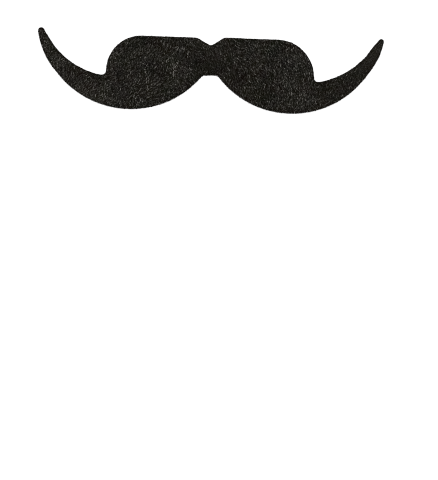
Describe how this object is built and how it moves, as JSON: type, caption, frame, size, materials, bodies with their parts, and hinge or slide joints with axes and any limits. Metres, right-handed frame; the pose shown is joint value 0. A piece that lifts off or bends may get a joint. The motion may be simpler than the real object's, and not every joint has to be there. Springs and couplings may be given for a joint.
{
  "type": "stick-on felt moustache",
  "caption": "Flat handlebar moustache die-cut from black felt, with upswept tapered curls and an adhesive back, worn stuck to the upper lip.",
  "frame": {"origin": "middle of the outline's own box, on the back of the adhesive film, which is the surface it rests on", "axes": "+X to the wearer's left along the span, +Y up towards the nose, +Z out of the felt's front face"},
  "size_m": [0.15, 0.0374, 0.003],
  "materials": {
    "felt": "matt black needled felt with short pale-tipped fibres",
    "release_paper": "smooth satin off-white release paper"
  },
  "bodies": {
    "root": {"felt_moustache": "felt", "adhesive_film": "release_paper"}
  },
  "joints": []
}
